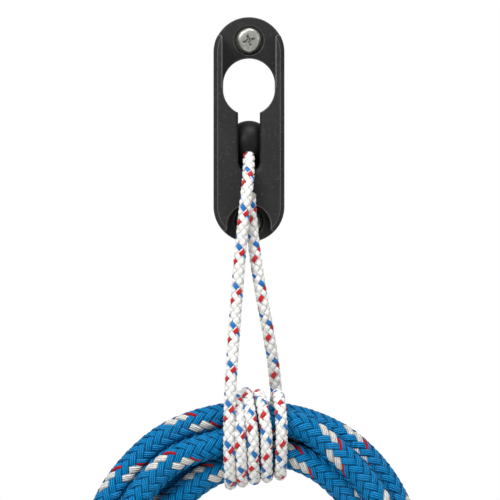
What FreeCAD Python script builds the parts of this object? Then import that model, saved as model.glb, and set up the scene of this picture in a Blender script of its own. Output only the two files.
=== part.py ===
import FreeCAD, Part
import math
import os

import Sketcher

# Wall hanger for a coiled line: a keyhole bracket, its two screws, a ball-ended
# lanyard that drops into the keyhole, and the coil of line lashed in the lanyard.
# Millimetres. X to the right, Y into the wall, Z up. The wall is the plane Y = 0,
# and the origin lies midway between the two screws.

Vector = FreeCAD.Vector
doc = FreeCAD.newDocument("LineHanger")

# ---------------------------------------------------------------- driving dimensions
sizes = {
    "bracketRadius": 13.75,      # the outline is a stadium of this end radius
    "outlineTop": 30.5,          # height of the upper end's centre
    "outlineFoot": 29.4,         # depth of the lower end's centre below the origin
    "bracketDepth": 20.5,        # wall to front face
    "rimChamfer": 1.6,
    "floorThickness": 7.0,       # of the two screw recesses
    "railSpacing": 20.9,         # between the side rails of the upper recess
    "railFoot": 17.0,            # height where the rails join the full front face
    "lowerRecessRadius": 8.6,
    "lowerRecessDrop": 36.9,     # its centre below the origin
    "tipFillet": 1.0,            # on the tips beside both recesses
    "holeRadius": 10.0,          # round part of the keyhole
    "holeUpper": 18.2,           # heights of its upper and lower centres
    "holeLower": 16.1,
    "slotWidth": 8.4,
    "slotFoot": 11.9,            # slot end's centre below the origin
    "slotLipFillet": 1.6,
    "channelRadius": 9.0,        # tunnel behind the lips that holds the ball
    "ballRadius": 8.7,
    "ballAxis": 9.2,             # ball centre to the wall
    "ballDrop": 4.7,             # ball centre below the origin, at rest
    "boreRadius": 2.5,
    "exitSlope": 37.5,           # the ball's bore falls forwards at this angle
    "ferruleRadius": 3.7,
    "ferruleLength": 4.6,
    "ferruleInset": 3.4,         # ball centre to the ferrule's near end
    "screwSpacing": 70.4,
    "screwHeadRadius": 4.75,
    "screwHeadHeight": 2.9,
    "headCrownRadius": 3.9,      # the domed head's profile, from its flat crown to its rim
    "headCrownFall": 0.15,
    "headShoulderRadius": 4.5,
    "headShoulderFall": 0.55,
    "headRimHeight": 1.5,
    "screwNeckRadius": 2.0,      # plain neck inside the bracket
    "screwThreadRadius": 2.4,
    "screwReach": 16.0,          # threaded length behind the wall plane
    "screwPointLength": 4.0,
    "screwHoleRadius": 2.75,
    "dishRadius": 5.9,
    "dishDepth": 0.8,
    "recessTurn": 18.5,          # turn of the cross recesses
    "crossHalfLength": 2.9,
    "crossHalfWidth": 0.55,
    "crossDepth": 1.8,
    "lanyardDiameter": 4.8,
    "lineDiameter": 10.8,
    "bundleAxis": 25.0,          # bundle centre to the wall
    "bundleDrop": 118.4,         # bundle centre below the origin
    "bundleRadius": 13.0,        # the line's four turns as the lashing holds them
    "coilTubeRadius": 14.5,
    "coilBendRadius": 53.6,
    "coilCentre": 1.2,           # sideways place of the coil's middle
    "coilSides": 40.0,           # straight sides between its two bends
    "wrapInner": 13.7,
    "wrapLeft": 10.0,
    "wrapRight": 14.9,
    "stitchRadius": 0.4,
    "stitchLength": 3.6,
    "stitchDrop": 29.5,          # the first stitch below the origin
    "stitchSpacing": 2.5,
    "whippingLength": 11.0,
    "whippingWall": 0.6,
    "whippingInset": 3.0,        # bare rope beyond each whipping
}
sheet = doc.addObject("Spreadsheet::Sheet", "dims")
for row, (name, value) in enumerate(sizes.items(), start=1):
    sheet.set("A%d" % row, name)
    sheet.set("B%d" % row, str(value))
    sheet.setAlias("B%d" % row, name)
doc.recompute()


def cell(name):
    """A driving dimension, read from the sheet."""
    return float(getattr(sheet, name))


# ---------------------------------------------------------------- helpers
def newBody(label):
    body = doc.addObject("PartDesign::Body", label)
    body.Label = label
    return body


def originPart(body, role):
    return [item for item in body.Origin.OriginFeatures if item.Role == role][0]


def newSketch(body, role, name, raisedBy=None):
    """A sketch on one of the body's own origin planes, raised off it by an expression."""
    sketch = body.newObject("Sketcher::SketchObject", name)
    sketch.AttachmentSupport = (originPart(body, role), "")
    sketch.MapMode = "FlatFace"
    if raisedBy:
        sketch.setExpression("AttachmentOffset.Base.z", raisedBy)
    return sketch


def constrain(sketch, label, expression, *what):
    """Adds a dimension to a sketch and ties it to an expression."""
    index = sketch.addConstraint(Sketcher.Constraint(*what))
    sketch.renameConstraint(index, label)
    sketch.setExpression("Constraints." + label, expression)


def addArc(sketch, x, y, radius, start, end):
    circle = Part.Circle(Vector(x, y, 0), Vector(0, 0, 1), radius)
    arc = Part.ArcOfCircle(circle, math.radians(start), math.radians(end))
    return sketch.addGeometry(arc)


def addLine(sketch, x0, y0, x1, y1):
    return sketch.addGeometry(Part.LineSegment(Vector(x0, y0, 0), Vector(x1, y1, 0)))


def join(sketch, kind, *pairs):
    for pair in pairs:
        sketch.addConstraint(Sketcher.Constraint(kind, *pair))


def stadiumSketch(body, name, radius, top, foot, footSign):
    """A stadium about the Z axis: the cells of its end radius and its end centres."""
    sketch = newSketch(body, "XZ_Plane", name)
    r, zTop, zFoot = cell(radius), cell(top), footSign * cell(foot)
    upper = addArc(sketch, 0, zTop, r, 0, 180)
    left = addLine(sketch, -r, zTop, -r, zFoot)
    lower = addArc(sketch, 0, zFoot, r, 180, 360)
    right = addLine(sketch, r, zFoot, r, zTop)
    join(sketch, "Tangent", (upper, 2, left, 1), (left, 2, lower, 1))
    join(sketch, "Tangent", (lower, 2, right, 1), (right, 2, upper, 1))
    join(sketch, "PointOnObject", (upper, 3, -2), (lower, 3, -2))
    sketch.addConstraint(Sketcher.Constraint("Vertical", left))
    constrain(sketch, "endRadius", "dims." + radius, "Radius", upper, r)
    constrain(sketch, "upperCentre", "dims." + top, "DistanceY", -1, 1, upper, 3, zTop)
    ends = (-1, 1, lower, 3) if footSign > 0 else (lower, 3, -1, 1)
    constrain(sketch, "lowerCentre", "dims." + foot, "DistanceY", *ends, cell(foot))
    return sketch


def pocket(body, name, sketch, length=None):
    """Cuts a sketch along its normal: right through, or to the length in an expression."""
    before = body.Shape.Volume
    cut = body.newObject("PartDesign::Pocket", name)
    cut.Profile = sketch
    cut.Reversed = True
    if length:
        cut.Type = "Length"
        cut.setExpression("Length", length)
    else:
        cut.Type = "ThroughAll"
    doc.recompute()
    if not body.Shape.Volume < before - 0.01:
        raise RuntimeError("%s cuts nothing" % name)
    return cut


def edgesNear(shape, places, reach=0.4):
    """Names of the edges whose middles lie at the given places."""
    found = []
    for index, edge in enumerate(shape.Edges, start=1):
        middle = edge.valueAt((edge.FirstParameter + edge.LastParameter) / 2)
        if any((middle - place).Length < reach for place in places):
            found.append("Edge%d" % index)
    if len(found) != len(places):
        raise RuntimeError("%d edges found for %d places" % (len(found), len(places)))
    return found


def filletAt(body, name, radius, places):
    """Rounds the edges whose middles are at the given places."""
    base = body.Tip
    fillet = body.newObject("PartDesign::Fillet", name)
    fillet.Base = (base, edgesNear(base.Shape, places))
    fillet.setExpression("Radius", "dims." + radius)
    doc.recompute()
    return fillet


# ---------------------------------------------------------------- bracket
def bracketOutline(body):
    """The stadium block with its bevelled front rim."""
    pad = body.newObject("PartDesign::Pad", "BracketPad")
    cells = ("bracketRadius", "outlineTop", "outlineFoot")
    pad.Profile = stadiumSketch(body, "OutlineSketch", *cells, -1)
    pad.setExpression("Length", "dims.bracketDepth")
    doc.recompute()
    front = -cell("bracketDepth")
    middle = (cell("outlineTop") - cell("outlineFoot")) / 2
    ends = [cell("outlineTop") + cell("bracketRadius"), -cell("outlineFoot") - cell("bracketRadius")]
    places = [Vector(0, front, z) for z in ends]
    places += [Vector(side * cell("bracketRadius"), front, middle) for side in (-1, 1)]
    bevel = body.newObject("PartDesign::Chamfer", "RimBevel")
    bevel.Base = (pad, edgesNear(pad.Shape, places))
    bevel.setExpression("Size", "dims.rimChamfer")
    doc.recompute()


def upperRecess(body):
    """The lower level round the upper screw, between the rails and open at the top."""
    sketch = newSketch(body, "XZ_Plane", "UpperRecessSketch", "dims.floorThickness")
    half, foot, top = cell("railSpacing") / 2, cell("railFoot"), 2 * cell("outlineTop")
    base = addLine(sketch, -half, foot, half, foot)
    right = addLine(sketch, half, foot, half, top)
    roof = addLine(sketch, half, top, -half, top)
    left = addLine(sketch, -half, top, -half, foot)
    join(sketch, "Coincident", (base, 2, right, 1), (right, 2, roof, 1))
    join(sketch, "Coincident", (roof, 2, left, 1), (left, 2, base, 1))
    for line, kind in ((roof, "Horizontal"), (right, "Vertical"), (left, "Vertical")):
        sketch.addConstraint(Sketcher.Constraint(kind, line))
    sketch.addConstraint(Sketcher.Constraint("Symmetric", base, 1, base, 2, -2))
    constrain(sketch, "spacing", "dims.railSpacing", "DistanceX", base, 1, base, 2, 2 * half)
    constrain(sketch, "foot", "dims.railFoot", "DistanceY", -1, 1, base, 1, foot)
    constrain(sketch, "reach", "2 * dims.outlineTop", "DistanceY", -1, 1, roof, 1, top)
    pocket(body, "UpperRecess", sketch)


def lowerRecess(body):
    """The arched recess round the lower screw, open at the bottom."""
    sketch = newSketch(body, "XZ_Plane", "LowerRecessSketch", "dims.floorThickness")
    r, drop, foot = cell("lowerRecessRadius"), cell("lowerRecessDrop"), 2 * cell("outlineFoot")
    arch = addArc(sketch, 0, -drop, r, 0, 180)
    left = addLine(sketch, -r, -drop, -r, -foot)
    base = addLine(sketch, -r, -foot, r, -foot)
    right = addLine(sketch, r, -foot, r, -drop)
    join(sketch, "Tangent", (arch, 2, left, 1), (right, 2, arch, 1))
    join(sketch, "Coincident", (left, 2, base, 1), (base, 2, right, 1))
    sketch.addConstraint(Sketcher.Constraint("PointOnObject", arch, 3, -2))
    sketch.addConstraint(Sketcher.Constraint("Vertical", left))
    sketch.addConstraint(Sketcher.Constraint("Horizontal", base))
    constrain(sketch, "archRadius", "dims.lowerRecessRadius", "Radius", arch, r)
    constrain(sketch, "archDrop", "dims.lowerRecessDrop", "DistanceY", arch, 3, -1, 1, drop)
    constrain(sketch, "reach", "2 * dims.outlineFoot", "DistanceY", base, 1, -1, 1, foot)
    pocket(body, "LowerRecess", sketch)


def keyhole(body):
    """The round hole right through, and the slot below it through the lips."""
    cells = ("holeRadius", "holeUpper", "holeLower")
    pocket(body, "RoundHole", stadiumSketch(body, "HoleSketch", *cells, 1))
    sketch = newSketch(body, "XZ_Plane", "SlotSketch", "dims.ballAxis")
    half, foot, top = cell("slotWidth") / 2, cell("slotFoot"), cell("holeLower")
    arch = addArc(sketch, 0, -foot, half, 180, 360)
    right = addLine(sketch, half, -foot, half, top)
    roof = addLine(sketch, half, top, -half, top)
    left = addLine(sketch, -half, top, -half, -foot)
    join(sketch, "Tangent", (arch, 2, right, 1), (left, 2, arch, 1))
    join(sketch, "Coincident", (right, 2, roof, 1), (roof, 2, left, 1))
    sketch.addConstraint(Sketcher.Constraint("PointOnObject", arch, 3, -2))
    sketch.addConstraint(Sketcher.Constraint("Vertical", right))
    sketch.addConstraint(Sketcher.Constraint("Horizontal", roof))
    constrain(sketch, "halfWidth", "dims.slotWidth / 2", "Radius", arch, half)
    constrain(sketch, "foot", "dims.slotFoot", "DistanceY", arch, 3, -1, 1, foot)
    constrain(sketch, "top", "dims.holeLower", "DistanceY", -1, 1, roof, 1, top)
    pocket(body, "Slot", sketch)


def ballChannel(body):
    """The tunnel behind the lips: round in front, open to the wall, with a spherical foot."""
    sketch = newSketch(body, "XY_Plane", "ChannelSketch", "-dims.ballDrop")
    r, axis, back = cell("channelRadius"), cell("ballAxis"), cell("ballAxis") / 4
    front = addArc(sketch, 0, -axis, r, 180, 360)
    right = addLine(sketch, r, -axis, r, back)
    rear = addLine(sketch, r, back, -r, back)
    left = addLine(sketch, -r, back, -r, -axis)
    join(sketch, "Tangent", (front, 2, right, 1), (left, 2, front, 1))
    join(sketch, "Coincident", (right, 2, rear, 1), (rear, 2, left, 1))
    sketch.addConstraint(Sketcher.Constraint("PointOnObject", front, 3, -2))
    sketch.addConstraint(Sketcher.Constraint("Vertical", right))
    sketch.addConstraint(Sketcher.Constraint("Horizontal", rear))
    constrain(sketch, "radius", "dims.channelRadius", "Radius", front, r)
    constrain(sketch, "axis", "dims.ballAxis", "DistanceY", front, 3, -1, 1, axis)
    constrain(sketch, "back", "dims.ballAxis / 4", "DistanceY", -1, 1, rear, 1, back)
    pocket(body, "Channel", sketch, "dims.ballDrop + dims.holeLower")
    before = body.Shape.Volume
    end = body.newObject("PartDesign::SubtractiveSphere", "ChannelFoot")
    end.setExpression("Radius", "dims.channelRadius")
    end.AttachmentSupport = (originPart(body, "XY_Plane"), "")
    end.MapMode = "FlatFace"
    end.setExpression("AttachmentOffset.Base.y", "-dims.ballAxis")
    end.setExpression("AttachmentOffset.Base.z", "-dims.ballDrop")
    doc.recompute()
    if not body.Shape.Volume < before - 0.01:
        raise RuntimeError("ChannelFoot cuts nothing")


def screwSeats(body):
    """A through hole for each screw, and a shallow dish round its head."""
    sketch = newSketch(body, "XZ_Plane", "ScrewHoleSketch")
    for label, sign in (("upper", 1), ("lower", -1)):
        z = sign * cell("screwSpacing") / 2
        circle = Part.Circle(Vector(0, z, 0), Vector(0, 0, 1), cell("screwHoleRadius"))
        hole = sketch.addGeometry(circle)
        sketch.addConstraint(Sketcher.Constraint("PointOnObject", hole, 3, -2))
        constrain(sketch, label + "Radius", "dims.screwHoleRadius", "Radius", hole, circle.Radius)
        ends = (-1, 1, hole, 3) if sign > 0 else (hole, 3, -1, 1)
        constrain(sketch, label + "Place", "dims.screwSpacing / 2", "DistanceY", *ends, abs(z))
    pocket(body, "ScrewHoles", sketch)
    for label, sign in (("Upper", ""), ("Lower", "-")):
        dish = body.newObject("PartDesign::SubtractiveCone", label + "Dish")
        dish.setExpression("Radius1", "dims.dishRadius - dims.dishDepth")
        dish.setExpression("Radius2", "dims.dishRadius")
        dish.setExpression("Height", "dims.dishDepth")
        dish.AttachmentSupport = (originPart(body, "XZ_Plane"), "")
        dish.MapMode = "FlatFace"
        dish.setExpression("AttachmentOffset.Base.y", sign + "dims.screwSpacing / 2")
        dish.setExpression("AttachmentOffset.Base.z", "dims.floorThickness - dims.dishDepth")
        doc.recompute()


def bracketTips(body):
    """Rounds the four tips where the recess walls meet the outline."""
    r = cell("bracketRadius")
    deep = (cell("floorThickness") + cell("bracketDepth") - cell("rimChamfer")) / 2
    places = []
    for half, centre, sign in (
        (cell("railSpacing") / 2, cell("outlineTop"), 1),
        (cell("lowerRecessRadius"), -cell("outlineFoot"), -1),
    ):
        z = centre + sign * math.sqrt(r * r - half * half)
        places += [Vector(side * half, -deep, z) for side in (-1, 1)]
    filletAt(body, "TipFillets", "tipFillet", places)


def makeBracket():
    body = newBody("bracket")
    bracketOutline(body)
    upperRecess(body)
    lowerRecess(body)
    bracketTips(body)
    keyhole(body)
    foot = -cell("slotFoot") - cell("slotWidth") / 2
    filletAt(body, "SlotLip", "slotLipFillet", [Vector(0, -cell("bracketDepth"), foot)])
    ballChannel(body)
    screwSeats(body)
    return body


# ---------------------------------------------------------------- screws
def makeScrew(label, sign):
    """A pan-head screw along Y: domed head, plain neck in the bracket, thread in the wall."""
    body = newBody(label)
    head, rim = cell("screwHeadRadius"), cell("screwHeadHeight")
    neck, thread, reach = cell("screwNeckRadius"), cell("screwThreadRadius"), cell("screwReach")
    seat = cell("floorThickness") - cell("dishDepth")
    crown = -seat - rim
    sketch = newSketch(body, "XY_Plane", "ProfileSketch")
    profile = [
        (0, crown), (cell("headCrownRadius"), crown + cell("headCrownFall")),
        (cell("headShoulderRadius"), crown + cell("headShoulderFall")),
        (head, -seat - cell("headRimHeight")), (head, -seat), (neck, -seat), (neck, 0),
        (thread, 0), (thread, reach - cell("screwPointLength")), (0, reach),
    ]
    lines = [addLine(sketch, *a, *b) for a, b in zip(profile, profile[1:])]
    lines.append(addLine(sketch, *profile[-1], *profile[0]))
    for index, line in enumerate(lines):
        join(sketch, "Coincident", (line, 2, lines[(index + 1) % len(lines)], 1))
    for corner in (0, len(profile) - 1):
        sketch.addConstraint(Sketcher.Constraint("PointOnObject", lines[corner], 1, -2))
    for flat in (4, 6):
        sketch.addConstraint(Sketcher.Constraint("Horizontal", lines[flat]))
    for wall in (3, 5, 7):
        sketch.addConstraint(Sketcher.Constraint("Vertical", lines[wall]))
    sketch.addConstraint(Sketcher.Constraint("PointOnObject", lines[6], 1, -1))
    constrain(sketch, "head", "dims.screwHeadRadius", "DistanceX", -1, 1, lines[3], 1, head)
    constrain(sketch, "neck", "dims.screwNeckRadius", "DistanceX", -1, 1, lines[5], 1, neck)
    constrain(sketch, "thread", "dims.screwThreadRadius", "DistanceX", -1, 1, lines[7], 1, thread)
    constrain(sketch, "tip", "dims.screwReach", "DistanceY", -1, 1, lines[9], 1, reach)
    under = "dims.floorThickness - dims.dishDepth"
    constrain(sketch, "seat", under, "DistanceY", lines[4], 1, -1, 1, seat)
    turned = body.newObject("PartDesign::Revolution", "Turned")
    turned.Profile = sketch
    turned.ReferenceAxis = (originPart(body, "Y_Axis"), "")
    turned.Angle = 360
    doc.recompute()
    for name, turn in (("CrossA", 0), ("CrossB", 90)):
        slot = body.newObject("PartDesign::SubtractiveBox", name)
        slot.setExpression("Length", "2 * dims.crossHalfLength")
        slot.setExpression("Width", "2 * dims.crossHalfWidth")
        slot.setExpression("Height", "dims.crossDepth * 2")
        slot.AttachmentSupport = (originPart(body, "XZ_Plane"), "")
        slot.MapMode = "FlatFace"
        spin = FreeCAD.Rotation(Vector(0, 0, 1), cell("recessTurn") + turn)
        corner = spin.multVec(Vector(-cell("crossHalfLength"), -cell("crossHalfWidth"), 0))
        corner.z = seat + rim - cell("crossDepth")
        slot.AttachmentOffset = FreeCAD.Placement(corner, spin)
        doc.recompute()
    body.setExpression("Placement.Base.z", sign + "dims.screwSpacing / 2")
    return body


# ---------------------------------------------------------------- ball and ferrule
slope = math.radians(cell("exitSlope"))
ballCentre = Vector(0, -cell("ballAxis"), -cell("ballDrop"))
exitWay = Vector(0, -math.cos(slope), -math.sin(slope))


def alongExit(name, radius, start, length):
    """A cylinder on the bore's axis, which starts so far from the ball's centre."""
    item = doc.addObject("Part::Cylinder", name)
    item.setExpression("Radius", "dims." + radius)
    item.Height = length
    turn = FreeCAD.Rotation(Vector(0, 0, 1), exitWay)
    item.Placement = FreeCAD.Placement(ballCentre + exitWay * start, turn)
    return item


def cutFrom(label, base, *tools):
    """A chain of cuts: the last one carries the label."""
    for index, tool in enumerate(tools, start=1):
        cut = doc.addObject("Part::Cut", "%sCut%d" % (label, index))
        cut.Base, cut.Tool = base, tool
        base = cut
    base.Label = label
    return base


def makeBall():
    ball = doc.addObject("Part::Sphere", "BallBlank")
    ball.setExpression("Radius", "dims.ballRadius")
    ball.Placement.Base = ballCentre
    reach = cell("ballRadius") + 2
    bore = alongExit("BallBore", "boreRadius", -reach, 2 * reach)
    seat = alongExit("FerruleSeat", "ferruleRadius", -reach, reach - cell("ferruleInset"))
    return cutFrom("keeper_ball", ball, bore, seat)


def makeFerrule():
    start = -cell("ferruleInset") - cell("ferruleLength")
    sleeve = alongExit("FerruleBlank", "ferruleRadius", start, cell("ferruleLength"))
    bore = alongExit("FerruleBore", "boreRadius", start - 1, cell("ferruleLength") + 2)
    return cutFrom("crimp_ferrule", sleeve, bore)


# ---------------------------------------------------------------- cords
def routeEdges(label, points):
    """Straight runs joined by tangent arcs, each as large as its two runs allow."""
    edges, radii = [], []
    start = points[0]
    for before, corner, after in zip(points, points[1:], points[2:]):
        back, ahead = before - corner, after - corner
        turn = math.pi - back.getAngle(ahead)
        reach = 0.45 * min(back.Length, ahead.Length)
        radius = reach / math.tan(turn / 2)
        into = corner + back.normalize() * reach
        out = corner + ahead.normalize() * reach
        middle = corner + (back + ahead).normalize() * (radius / math.cos(turn / 2) - radius)
        edges += [Part.LineSegment(start, into).toShape(), Part.Arc(into, middle, out).toShape()]
        radii.append(radius)
        start = out
    edges.append(Part.LineSegment(start, points[-1]).toShape())
    print(label, "radii", ["%.1f" % radius for radius in radii])
    return edges


def sweptTube(label, edges, diameter):
    """A round tube on a row of edges. Its volume is compared with section times length."""
    path = Part.Wire(edges)
    first = edges[0]
    start = first.valueAt(first.FirstParameter)
    ring = Part.Wire(Part.makeCircle(diameter / 2, start, first.tangentAt(first.FirstParameter)))
    shape = path.makePipeShell([ring], True, True)
    expected = math.pi * diameter * diameter / 4 * path.Length
    print(label, "length %.1f volume ratio %.4f" % (path.Length, shape.Volume / expected))
    return shape


def keep(label, shape):
    item = doc.addObject("Part::Feature", label)
    item.Shape = shape
    item.Placement = FreeCAD.Placement()
    item.Label = label
    return item


# The lanyard leaves the ball, comes over the slot's foot, and its front leg leans
# forward over its own end down to the lashing.
frontLegRoute = [
    Vector(-0.6, -27.3, -21.6), Vector(-1.3, -28.5, -27.2), Vector(-2.2, -29, -36),
    Vector(-3.3, -29.8, -46), Vector(-4.4, -31.3, -60), Vector(-5.7, -33.9, -77),
    Vector(-6.8, -37, -93), Vector(-7.5, -39.6, -108),
]
bendReach = 17.4
bendPoint = ballCentre + exitWay * bendReach
# Its other leg rises behind, and ends sewn to the back of the front leg.
backLegRoute = [
    Vector(0.3, -23.3, -25.5), Vector(0.9, -23.4, -34.5), Vector(1.9, -23.35, -44.5),
    Vector(3.3, -23.4, -55), Vector(5.3, -23, -66.5), Vector(7.5, -20.8, -78),
    Vector(9.4, -17, -89.5), Vector(10.6, -12.9, -101), Vector(11.6, -9.7, -112),
]
pivotGap = 1.2
tailGap = 0.4


def makeLanyard():
    """The rope in the ball, up to the bend over the slot's foot, and the two legs below it."""
    diameter = cell("lanyardDiameter")
    tail = ballCentre - exitWay * (cell("ferruleInset") + cell("ferruleLength") + tailGap)
    edges = routeEdges("lanyard front", [tail, bendPoint] + frontLegRoute)
    # the rope swings sideways from the straight run after its first bend
    run = edges[2]
    ends = [vertex.Point for vertex in run.Vertexes]
    way = (ends[1] - ends[0]).normalize()
    pivot = (ends[0] + ends[1]) / 2
    print("lanyard pivot", [round(c, 3) for c in pivot], "run %.2f" % run.Length)
    above = Part.LineSegment(ends[0], pivot - way * pivotGap / 2).toShape()
    below = Part.LineSegment(pivot + way * pivotGap / 2, ends[1]).toShape()
    keep("lanyard_stub", sweptTube("lanyard_stub", edges[:2] + [above], diameter))
    keep("lanyard_front_leg", sweptTube("lanyard_front_leg", [below] + edges[3:], diameter))
    backEdges = routeEdges("lanyard back", backLegRoute)
    keep("lanyard_back_leg", sweptTube("lanyard_back_leg", backEdges, diameter))


def makeWraps():
    """The five wraps round the bundle, as one sleeve of their outer shape."""
    outer = cell("wrapInner") + cell("lanyardDiameter")
    along = Vector(1, 0, 0)
    start = Vector(-cell("wrapLeft"), -cell("bundleAxis"), -cell("bundleDrop"))
    length = cell("wrapLeft") + cell("wrapRight")
    sleeve = Part.makeCylinder(outer, length, start, along)
    inside = Part.makeCylinder(cell("wrapInner"), length + 2, start - along, along)
    keep("lanyard_wraps", sleeve.cut(inside))


def atHeight(route, z):
    """The point of a falling route at that height."""
    for upper, lower in zip(route, route[1:]):
        if upper.z >= z >= lower.z:
            return upper + (lower - upper) * ((upper.z - z) / (upper.z - lower.z))
    raise RuntimeError("no point of the route at %.1f" % z)


def makeStitches():
    """Four thread bars that sew the back leg's end to the front leg."""
    bars = []
    length = cell("stitchLength")
    for index in range(4):
        z = -cell("stitchDrop") - index * cell("stitchSpacing")
        back, front = atHeight(backLegRoute, z), atHeight(frontLegRoute, z)
        way = (front - back).normalize()
        start = (back + front) / 2 - way * length / 2
        bars.append(Part.makeCylinder(cell("stitchRadius"), length, start, way))
    keep("sewing_thread", Part.makeCompound(bars))


# ---------------------------------------------------------------- coil of line
# The neck reaches this far round the coil's upper bend, in degrees, clear of the wraps.
neckTurnLeft, neckTurnRight = 17.8, 21.8
midBend = 55


def makeCoil():
    """The hanging coil's outer shape: a neck through the lashing and a long fat ring."""
    bend, side, mid = cell("coilBendRadius"), cell("coilSides"), cell("coilCentre")
    y, top = -cell("bundleAxis"), -cell("bundleDrop")
    upper, lower = Vector(mid, y, top - bend), Vector(mid, y, top - bend - side)

    def onUpperBend(degrees):
        """A point on the upper bend, so far to the right of its crown."""
        turn = math.radians(degrees)
        return upper + Vector(math.sin(turn), 0, math.cos(turn)) * bend

    neckLeft, neckRight = onUpperBend(-neckTurnLeft), onUpperBend(neckTurnRight)
    left, right = onUpperBend(-90), onUpperBend(90)
    leftFoot, rightFoot = Vector(left.x, y, lower.z), Vector(right.x, y, lower.z)
    path = Part.Wire([
        Part.Arc(neckLeft, onUpperBend(-midBend), left).toShape(),
        Part.LineSegment(left, leftFoot).toShape(),
        Part.Arc(leftFoot, lower - Vector(0, 0, bend), rightFoot).toShape(),
        Part.LineSegment(rightFoot, right).toShape(),
        Part.Arc(right, onUpperBend(midBend), neckRight).toShape(),
    ])
    across = Vector(0, 1, 0).cross(neckLeft - upper)
    ring = Part.Wire(Part.makeCircle(cell("coilTubeRadius"), neckLeft, across))
    tube = path.makePipeShell([ring], True, True)
    length = neckRight.x - neckLeft.x
    start = Vector(neckLeft.x, y, top)
    neck = Part.makeCylinder(cell("bundleRadius"), length, start, Vector(1, 0, 0))
    keep("line_coil", tube.fuse(neck).removeSplitter())
    print("coil path %.1f" % (path.Length + length))


whippingGap = 0.05


def makeTails():
    """The line's two ends, hanging from the foot of the coil, each with its whipping."""
    diameter = cell("lineDiameter")
    y = -cell("bundleAxis")
    foot = -cell("bundleDrop") - 2 * cell("coilBendRadius") - cell("coilSides")
    routes = {
        "left": [(-13, -2, 3), (-19, -4, -12), (-21, -4, -40)],
        "right": [(16, -2, 3), (21, -4, -10), (22, -4, -33)],
    }
    for side, offsets in routes.items():
        label = "line_tail_" + side
        route = [Vector(x, y + dy, foot + dz) for x, dy, dz in offsets]
        keep(label, sweptTube(label, routeEdges(label, route), diameter))
        way = (route[2] - route[1]).normalize()
        length = cell("whippingLength")
        start = route[2] - way * (length + cell("whippingInset"))
        outer = Part.makeCylinder(diameter / 2 + cell("whippingWall"), length, start, way)
        inner = Part.makeCylinder(diameter / 2 + whippingGap, length + 2, start - way, way)
        keep("whipping_" + side, outer.cut(inner))


# ---------------------------------------------------------------- assembly
makeBracket()
makeScrew("upper_screw", "")
makeScrew("lower_screw", "-")
makeBall()
makeFerrule()
makeLanyard()
makeWraps()
makeStitches()
makeCoil()
makeTails()
doc.recompute()

nodes = [
    "bracket", "upper_screw", "lower_screw", "keeper_ball", "crimp_ferrule",
    "lanyard_stub", "lanyard_front_leg", "lanyard_back_leg", "lanyard_wraps", "sewing_thread",
    "line_coil", "line_tail_left", "line_tail_right", "whipping_left", "whipping_right",
]
for item in doc.Objects:
    bad = [state for state in item.State if state in ("Invalid", "Error")]
    if bad:
        raise RuntimeError("%s is %s" % (item.Name, bad))
os.makedirs("parts", exist_ok=True)
for label in nodes:
    item = doc.getObjectsByLabel(label)[0]
    shape = item.Shape
    if shape.isNull() or not shape.isValid():
        raise RuntimeError("%s has no valid shape" % label)
    shape.exportStep(os.path.join("parts", label + ".step"))
    box = shape.BoundBox
    print("%-18s %9.1f mm3  y %.2f to %.2f  z %.2f to %.2f" % (
        label, shape.Volume, box.YMin, box.YMax, box.ZMin, box.ZMax))
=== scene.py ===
import bpy
import bmesh
import math
from mathutils import Matrix, Vector


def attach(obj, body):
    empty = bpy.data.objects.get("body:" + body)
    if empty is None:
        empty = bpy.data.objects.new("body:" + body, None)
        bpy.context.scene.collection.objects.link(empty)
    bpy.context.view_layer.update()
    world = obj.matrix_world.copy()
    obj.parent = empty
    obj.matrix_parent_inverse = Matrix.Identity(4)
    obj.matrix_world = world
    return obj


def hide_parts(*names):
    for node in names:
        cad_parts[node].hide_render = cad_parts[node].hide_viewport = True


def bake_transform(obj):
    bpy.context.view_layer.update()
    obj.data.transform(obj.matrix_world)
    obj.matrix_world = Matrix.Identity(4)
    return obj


# A wall hanger for a coiled line: a keyhole bracket on two screws, and a braided
# lanyard whose ball drops into the keyhole and whose end lashes the coil.
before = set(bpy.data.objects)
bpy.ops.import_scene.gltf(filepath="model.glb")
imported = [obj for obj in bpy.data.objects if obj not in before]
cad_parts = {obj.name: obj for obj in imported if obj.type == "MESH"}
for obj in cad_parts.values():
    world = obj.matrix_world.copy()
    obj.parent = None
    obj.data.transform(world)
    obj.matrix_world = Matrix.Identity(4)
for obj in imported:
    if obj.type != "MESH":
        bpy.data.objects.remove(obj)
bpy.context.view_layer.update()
mm = 0.001
turn = 2 * math.pi
scene = bpy.context.scene
print("frame loaded:", len(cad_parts), "CAD nodes")


# small helpers for node trees
def newGroup(name, kind, inputs=(), outputs=()):
    tree = bpy.data.node_groups.new(name, kind)
    names = {}
    for label, socketKind, value in inputs:
        socketType = "NodeSocket" + socketKind
        item = tree.interface.new_socket(label, in_out="INPUT", socket_type=socketType)
        if value is not None:
            item.default_value = value
        names[label] = item.identifier
    for label, socketKind in outputs:
        socketType = "NodeSocket" + socketKind
        tree.interface.new_socket(label, in_out="OUTPUT", socket_type=socketType)
    return tree, names


def put(tree, kind, settings=None, inputs=None):
    node = tree.nodes.new(kind)
    for name, value in (settings or {}).items():
        setattr(node, name, value)
    for key, value in (inputs or {}).items():
        if isinstance(value, bpy.types.NodeSocket):
            tree.links.new(value, node.inputs[key])
        else:
            node.inputs[key].default_value = value
    return node


def maths(tree, operation, *values):
    return put(tree, "ShaderNodeMath", {"operation": operation}, dict(enumerate(values))).outputs[0]


def vectorMaths(tree, operation, *values):
    node = put(tree, "ShaderNodeVectorMath", {"operation": operation})
    for index, value in enumerate(values):
        target = node.inputs["Scale"] if operation == "SCALE" and index == 1 else node.inputs[index]
        if isinstance(value, bpy.types.NodeSocket):
            tree.links.new(value, target)
        else:
            target.default_value = value
    return node.outputs["Value" if operation == "DOT_PRODUCT" else "Vector"]


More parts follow.
